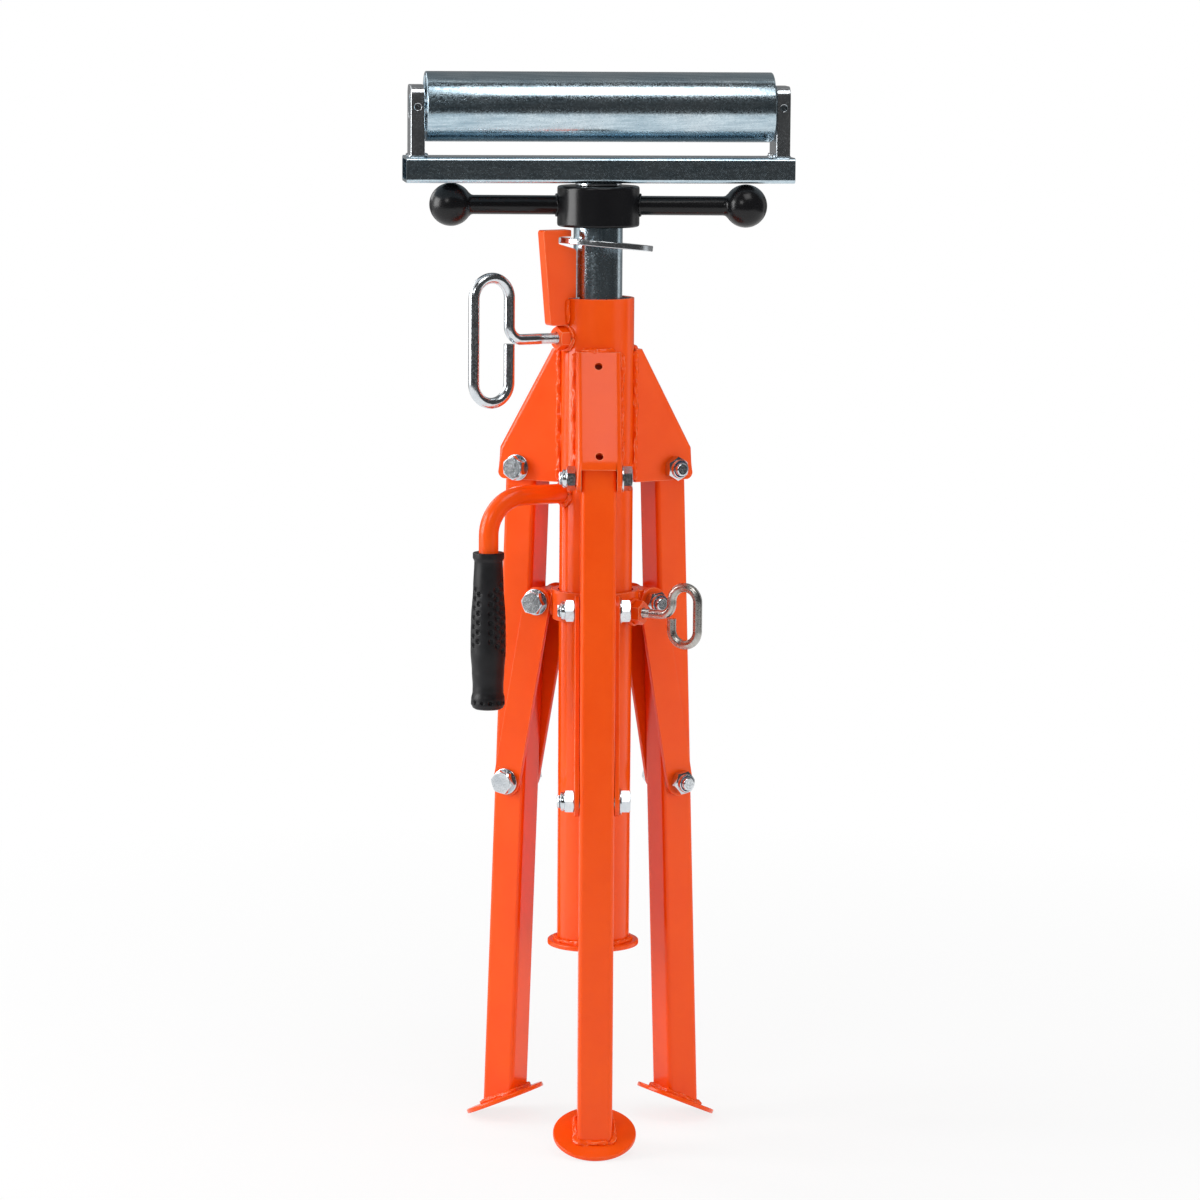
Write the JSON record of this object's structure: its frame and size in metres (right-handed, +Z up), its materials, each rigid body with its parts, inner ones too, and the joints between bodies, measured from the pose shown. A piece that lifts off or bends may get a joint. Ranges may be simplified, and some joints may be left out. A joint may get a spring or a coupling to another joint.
{
  "type": "roller stand",
  "caption": "Folding tripod pipe stand with a sliding mast, a handwheel lift screw and a swivelling roller on top.",
  "frame": {"origin": "on the floor, at the centre of the folded stand's box", "axes": "+Z up along the mast, -Y towards the front leg, X along the handwheel's arms"},
  "size_m": [0.338, 0.2006, 0.9282],
  "materials": {
    "orange_coat": "satin powder coat",
    "zinc_plate": "bright zinc plate",
    "plain_steel": "ground",
    "black_enamel": "satin",
    "guide_plastic": "matt",
    "grip_rubber": "matt moulded"
  },
  "bodies": {
    "stand_frame": {"outer_tube": "orange_coat", "base_disc": "orange_coat", "guide_bush": "guide_plastic", "bracket_front": "orange_coat", "bracket_left": "orange_coat", "bracket_right": "orange_coat", "hook_plate": "orange_coat", "upper_clamp_nut": "orange_coat", "carry_handle": "orange_coat", "handle_grip": "grip_rubber", "leg_pivot_front_bolt": "zinc_plate", "leg_pivot_front_nut": "zinc_plate", "leg_pivot_left_bolt": "zinc_plate", "leg_pivot_left_nut": "zinc_plate", "leg_pivot_right_bolt": "zinc_plate", "leg_pivot_right_nut": "zinc_plate"},
    "mast": {"mast_tube": "zinc_plate", "mast_foot_ring": "guide_plastic", "thrust_washer": "plain_steel"},
    "handwheel": {"handwheel_hub": "black_enamel", "handwheel_arm_left": "black_enamel", "handwheel_arm_right": "black_enamel"},
    "lift_screw": {"lift_screw": "zinc_plate"},
    "roller_head": {"cradle_beam": "zinc_plate", "swivel_pin": "plain_steel", "end_ear_left": "zinc_plate", "end_ear_right": "zinc_plate", "roller_axle": "plain_steel"},
    "roller": {"roller_tube": "zinc_plate", "roller_bearing_left": "plain_steel", "roller_bearing_right": "plain_steel"},
    "lock_ring": {"lock_ring": "zinc_plate"},
    "upper_clamp_screw": {"upper_clamp_screw": "zinc_plate"},
    "collar": {"collar_ring": "orange_coat", "lower_clamp_nut": "orange_coat", "collar_front_bolt": "zinc_plate", "collar_front_nut": "zinc_plate", "collar_left_bolt": "zinc_plate", "collar_left_nut": "zinc_plate", "collar_right_bolt": "zinc_plate", "collar_right_nut": "zinc_plate"},
    "lower_clamp_screw": {"lower_clamp_screw": "zinc_plate"},
    "leg_front": {"leg_tube_front": "orange_coat", "foot_pad_front": "orange_coat"},
    "strut_front": {"strut_bar_front_1": "orange_coat", "strut_bar_front_2": "orange_coat", "strut_front_bolt": "zinc_plate", "strut_front_nut": "zinc_plate"},
    "leg_left": {"leg_tube_left": "orange_coat", "foot_pad_left": "orange_coat"},
    "strut_left": {"strut_bar_left_1": "orange_coat", "strut_bar_left_2": "orange_coat", "strut_left_bolt": "zinc_plate", "strut_left_nut": "zinc_plate"},
    "leg_right": {"leg_tube_right": "orange_coat", "foot_pad_right": "orange_coat"},
    "strut_right": {"strut_bar_right_1": "orange_coat", "strut_bar_right_2": "orange_coat", "strut_right_bolt": "zinc_plate", "strut_right_nut": "zinc_plate"}
  },
  "joints": [
    {"name": "mast_slide", "type": "slide", "parent": "stand_frame", "child": "mast", "axis": [0, 0, 1], "range_m": [0, 0.3]},
    {"name": "handwheel_turn", "type": "hinge", "parent": "mast", "child": "handwheel", "pos_m": [0, 0.02099, 0.8142], "axis": [0, 0, -1], "range_deg": [0, 5400]},
    {"name": "screw_lift", "type": "slide", "parent": "mast", "child": "lift_screw", "axis": [0, 0, 1], "range_m": [0, 0.0901]},
    {"name": "head_swivel", "type": "hinge", "parent": "lift_screw", "child": "roller_head", "pos_m": [0, 0.02099, 0.833], "axis": [0, 0, 1], "continuous": true},
    {"name": "roller_spin", "type": "hinge", "parent": "roller_head", "child": "roller", "pos_m": [0, 0.02099, 0.8985], "axis": [0.9962, 0.0872, 0], "continuous": true},
    {"name": "lock_ring_tilt", "type": "hinge", "parent": "stand_frame", "child": "lock_ring", "pos_m": [-0.03334, 0.00174, 0.7852], "axis": [0.5, -0.866, 0], "range_deg": [0, 6]},
    {"name": "upper_clamp_turn", "type": "hinge", "parent": "stand_frame", "child": "upper_clamp_screw", "pos_m": [0, 0.02099, 0.701], "axis": [-0.866, -0.5, 0], "range_deg": [0, 720]},
    {"name": "collar_slide", "type": "slide", "parent": "stand_frame", "child": "collar", "axis": [0, 0, -1], "range_m": [0, 0.042]},
    {"name": "lower_clamp_turn", "type": "hinge", "parent": "collar", "child": "lower_clamp_screw", "pos_m": [0, 0.02099, 0.46301], "axis": [0.866, -0.5, 0], "range_deg": [0, 720]},
    {"name": "leg_front_fold", "type": "hinge", "parent": "stand_frame", "child": "leg_front", "pos_m": [0, -0.04651, 0.585], "axis": [-1, 0, 0], "range_deg": [0, 24.01]},
    {"name": "strut_front_swing", "type": "hinge", "parent": "collar", "child": "strut_front", "pos_m": [0, -0.02701, 0.46801], "axis": [-1, 0, 0], "range_deg": [0, 46.66]},
    {"name": "leg_left_fold", "type": "hinge", "parent": "stand_frame", "child": "leg_left", "pos_m": [-0.05846, 0.05474, 0.585], "axis": [0.5, 0.866, 0], "range_deg": [0, 24.01]},
    {"name": "strut_left_swing", "type": "hinge", "parent": "collar", "child": "strut_left", "pos_m": [-0.04157, 0.04499, 0.46801], "axis": [0.5, 0.866, 0], "range_deg": [0, 46.66]},
    {"name": "leg_right_fold", "type": "hinge", "parent": "stand_frame", "child": "leg_right", "pos_m": [0.05846, 0.05474, 0.585], "axis": [0.5, -0.866, 0], "range_deg": [0, 24.01]},
    {"name": "strut_right_swing", "type": "hinge", "parent": "collar", "child": "strut_right", "pos_m": [0.04157, 0.04499, 0.46801], "axis": [0.5, -0.866, 0], "range_deg": [0, 46.66]}
  ],
  "couplings": [
    {"joint": "screw_lift", "follows": "handwheel_turn", "m_per_rad": 0.00095493},
    {"joint": "leg_front_fold", "follows": "collar_slide", "rad_per_m": 9.9733},
    {"joint": "strut_front_swing", "follows": "collar_slide", "rad_per_m": 19.386},
    {"joint": "leg_left_fold", "follows": "collar_slide", "rad_per_m": 9.9733},
    {"joint": "strut_left_swing", "follows": "collar_slide", "rad_per_m": 19.386},
    {"joint": "leg_right_fold", "follows": "collar_slide", "rad_per_m": 9.9733},
    {"joint": "strut_right_swing", "follows": "collar_slide", "rad_per_m": 19.386}
  ]
}
